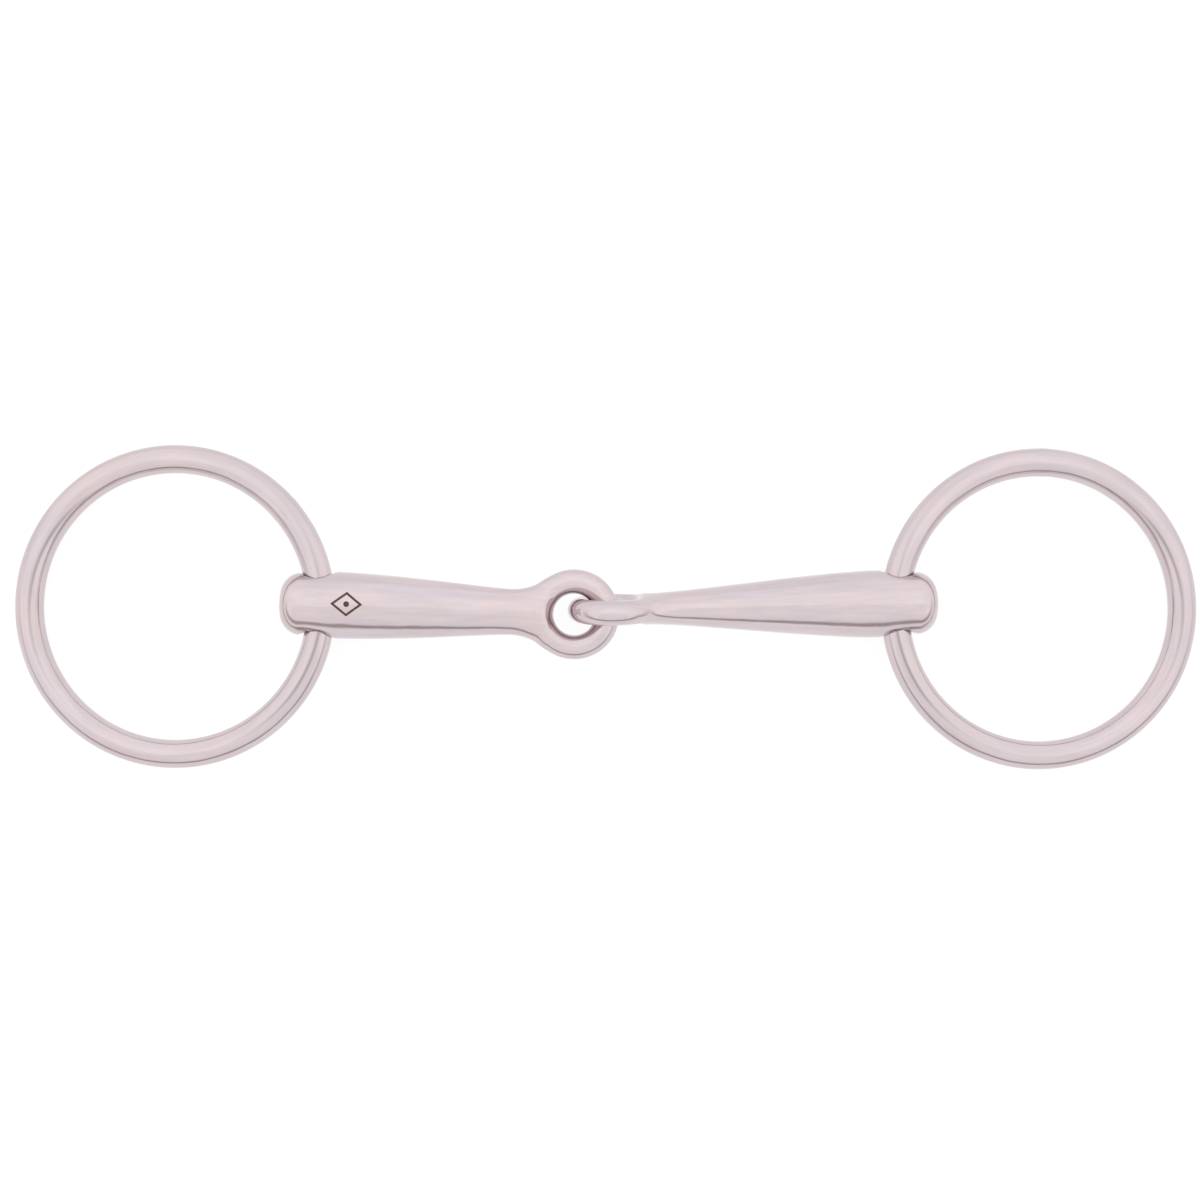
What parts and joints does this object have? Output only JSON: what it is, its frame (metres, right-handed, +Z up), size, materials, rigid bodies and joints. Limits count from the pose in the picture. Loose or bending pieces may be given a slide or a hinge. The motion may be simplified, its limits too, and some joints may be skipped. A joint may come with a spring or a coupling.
{
  "type": "snaffle bit",
  "caption": "Jointed loose-ring snaffle bit: tapering solid bars linked eye through eye, with a round ring running freely through the thick end of each bar.",
  "frame": {"origin": "on the surface that the bit lies on, under the middle of its bounding box", "axes": "+X along the mouthpiece from the left ring to the right ring; +Y across it, in the plane that the rings nearly lie in; +Z up, away from the surface"},
  "size_m": [0.2946, 0.0806, 0.0221],
  "materials": {
    "cannon_steel": "polished stainless steel",
    "ring_steel": "polished stainless steel bar",
    "etched_mark": "dark etched surface"
  },
  "bodies": {
    "left_cannon": {"left_cannon": "cannon_steel"},
    "right_cannon": {"right_cannon": "cannon_steel"},
    "left_ring": {"left_ring": "ring_steel"},
    "right_ring": {"right_ring": "ring_steel"}
  },
  "joints": [
    {"name": "centre_fold", "type": "hinge", "parent": "left_cannon", "child": "right_cannon", "pos_m": [-0.00021, -0.00042, 0.01076], "axis": [0, -0.9945, -0.1045], "range_deg": [-85, 90]},
    {"name": "left_ring_swing", "type": "hinge", "parent": "left_cannon", "child": "left_ring", "pos_m": [-0.07155, 0.0008, 0.00835], "axis": [0.0384, 0.9993, 0], "range_deg": [-80, 85]},
    {"name": "right_ring_swing", "type": "hinge", "parent": "right_cannon", "child": "right_ring", "pos_m": [0.07155, 0.00106, 0.00835], "axis": [0.0209, -0.9998, 0], "range_deg": [-80, 85]}
  ]
}
